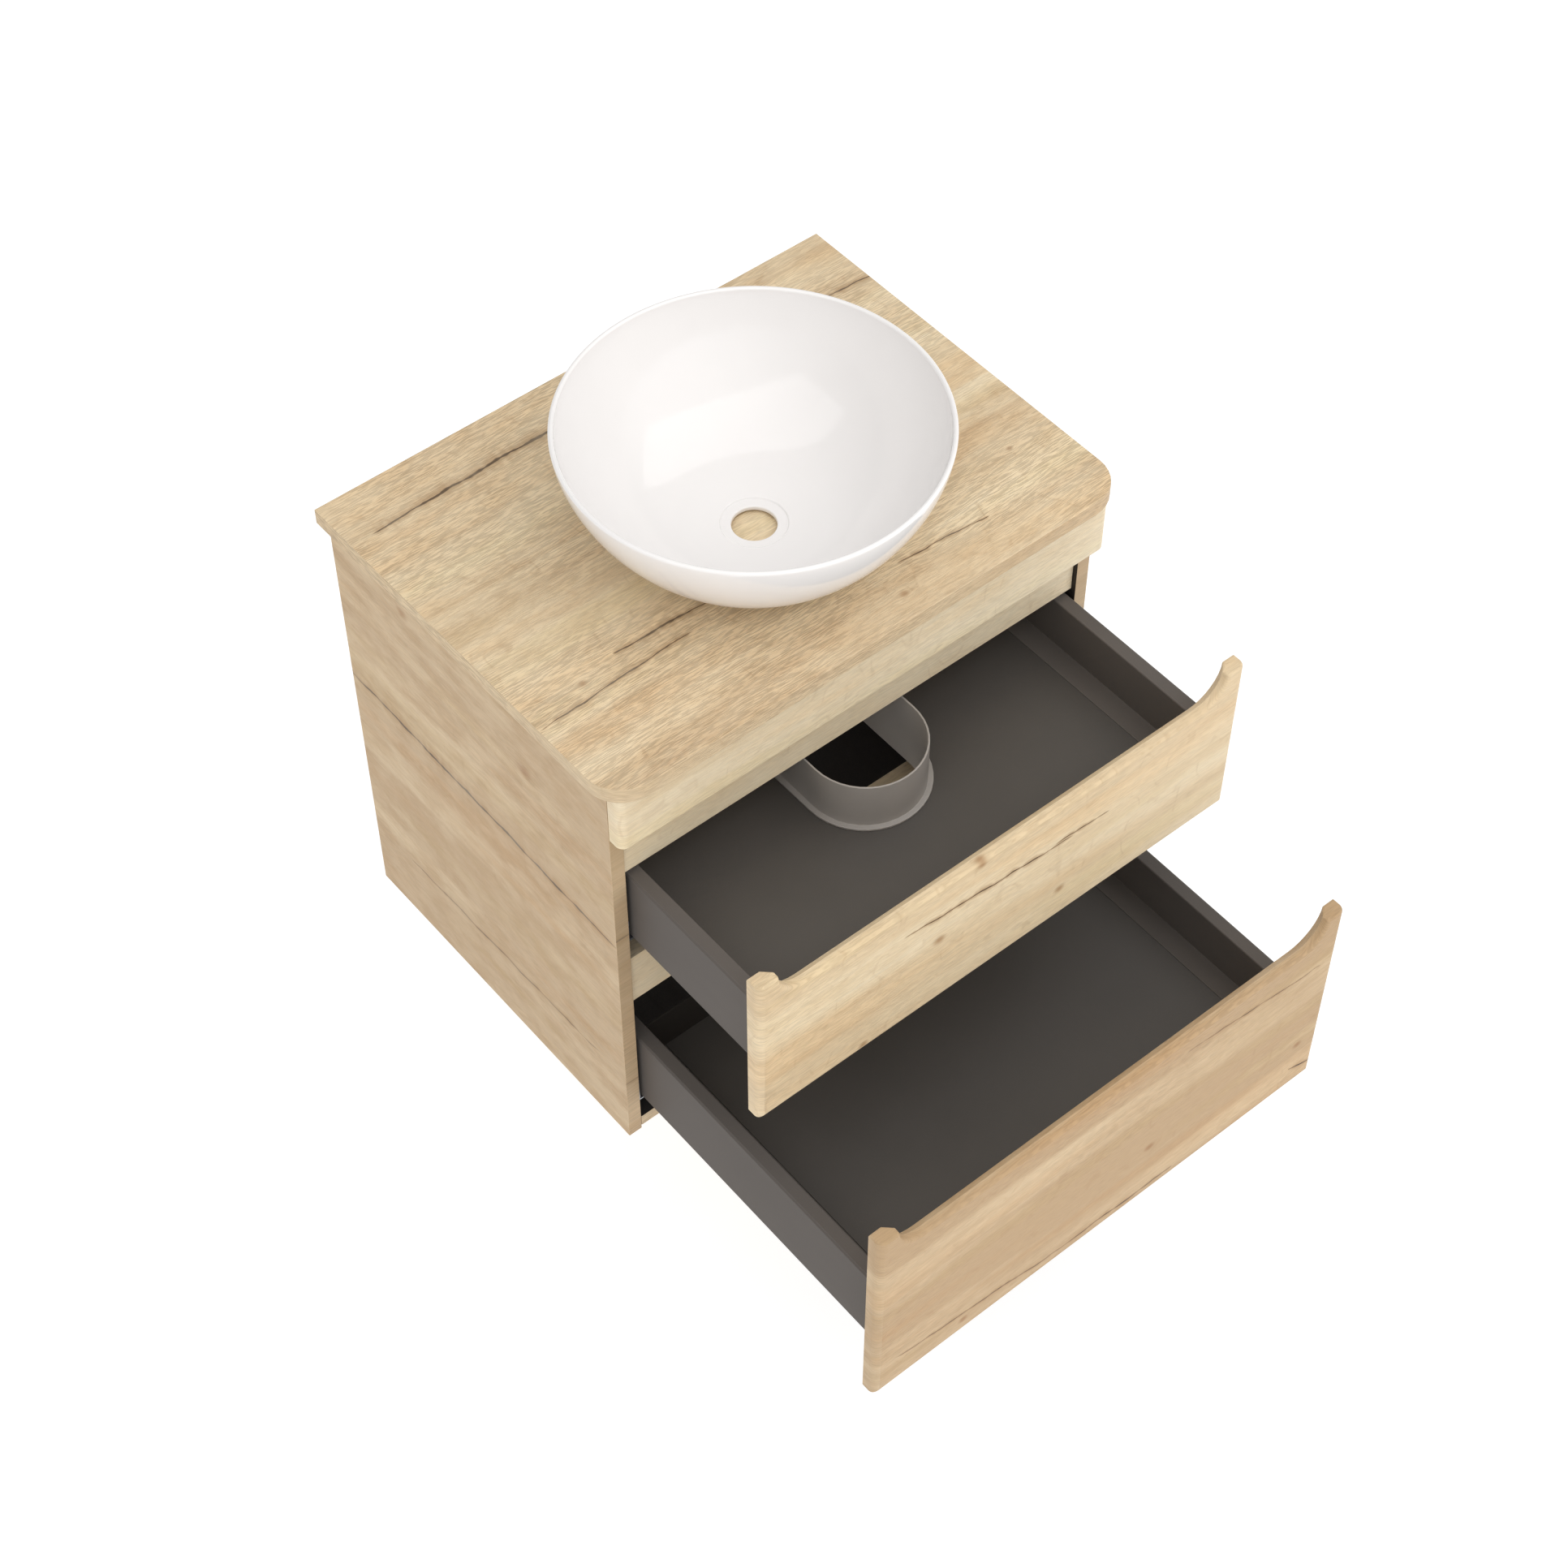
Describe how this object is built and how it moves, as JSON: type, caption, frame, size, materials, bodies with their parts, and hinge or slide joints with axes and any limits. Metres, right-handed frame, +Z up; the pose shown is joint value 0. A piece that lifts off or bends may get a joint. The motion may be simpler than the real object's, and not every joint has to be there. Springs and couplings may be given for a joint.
{
  "type": "vanity unit with vessel basin",
  "caption": "Wall-hung bathroom vanity with a thin countertop, a round vessel basin standing on it, and drawers on full-extension runners, one with a siphon cut-out.",
  "frame": {"origin": "centre of the countertop's back edge face, on the wall plane", "axes": "+X to the right seen from the front, +Y towards the wall, +Z up"},
  "size_m": [0.624, 0.8273, 0.7208],
  "materials": {
    "oak": "light oak decor, matt, grain along the width on top and fronts",
    "ceramic": "white gloss glaze",
    "anthracite": "anthracite powder coat, satin",
    "drawer_board": "anthracite laminated board, matt",
    "dark_steel": "black-brown powder coat",
    "grey_plastic": "moulded, matt",
    "zinc": "zinc-plated",
    "silicone": "cured silicone bead"
  },
  "bodies": {
    "cabinet": {"countertop": "oak", "basin": "ceramic", "basin_seal": "silicone", "side_panel_left": "oak", "side_panel_right": "oak", "false_front": "oak", "fascia_spacer_left": "zinc", "fascia_spacer_right": "zinc", "top_front_rail": "oak", "middle_front_rail": "oak", "top_rear_rail": "drawer_board", "bottom_rear_rail": "drawer_board", "bottom_panel": "oak", "hanger_left": "zinc", "hanger_right": "zinc", "upper_runner_cabinet_left": "zinc", "upper_runner_cabinet_right": "zinc", "lower_runner_cabinet_left": "zinc", "lower_runner_cabinet_right": "zinc"},
    "upper_drawer": {"upper_front": "oak", "upper_floor": "drawer_board", "siphon_collar": "grey_plastic", "upper_back_left": "dark_steel", "upper_back_right": "dark_steel", "upper_side_left": "anthracite", "upper_side_right": "anthracite", "upper_front_bracket_left": "zinc", "upper_front_bracket_right": "zinc", "upper_runner_drawer_left": "zinc", "upper_runner_drawer_right": "zinc"},
    "lower_drawer": {"lower_front": "oak", "lower_floor": "drawer_board", "lower_back": "dark_steel", "lower_side_left": "anthracite", "lower_side_right": "anthracite", "lower_front_bracket_left": "zinc", "lower_front_bracket_right": "zinc", "lower_runner_drawer_left": "zinc", "lower_runner_drawer_right": "zinc"},
    "upper_runner_left": {"upper_runner_middle_left": "zinc"},
    "upper_runner_right": {"upper_runner_middle_right": "zinc"},
    "lower_runner_left": {"lower_runner_middle_left": "zinc"},
    "lower_runner_right": {"lower_runner_middle_right": "zinc"}
  },
  "joints": [
    {"name": "upper_drawer_slide", "type": "slide", "parent": "cabinet", "child": "upper_drawer", "axis": [0, -1, 0], "range_m": [-0.1965, 0.1885]},
    {"name": "upper_runner_slide_left", "type": "slide", "parent": "cabinet", "child": "upper_runner_left", "axis": [0, -1, 0], "range_m": [-0.09825, 0.09425]},
    {"name": "upper_runner_slide_right", "type": "slide", "parent": "cabinet", "child": "upper_runner_right", "axis": [0, -1, 0], "range_m": [-0.09825, 0.09425]},
    {"name": "lower_drawer_slide", "type": "slide", "parent": "cabinet", "child": "lower_drawer", "axis": [0, -1, 0], "range_m": [-0.3685, 0.0165]},
    {"name": "lower_runner_slide_left", "type": "slide", "parent": "cabinet", "child": "lower_runner_left", "axis": [0, -1, 0], "range_m": [-0.18425, 0.00825]},
    {"name": "lower_runner_slide_right", "type": "slide", "parent": "cabinet", "child": "lower_runner_right", "axis": [0, -1, 0], "range_m": [-0.18425, 0.00825]}
  ],
  "couplings": [
    {"joint": "upper_runner_slide_left", "follows": "upper_drawer_slide", "ratio": 0.5},
    {"joint": "upper_runner_slide_right", "follows": "upper_drawer_slide", "ratio": 0.5},
    {"joint": "lower_runner_slide_left", "follows": "lower_drawer_slide", "ratio": 0.5},
    {"joint": "lower_runner_slide_right", "follows": "lower_drawer_slide", "ratio": 0.5}
  ]
}
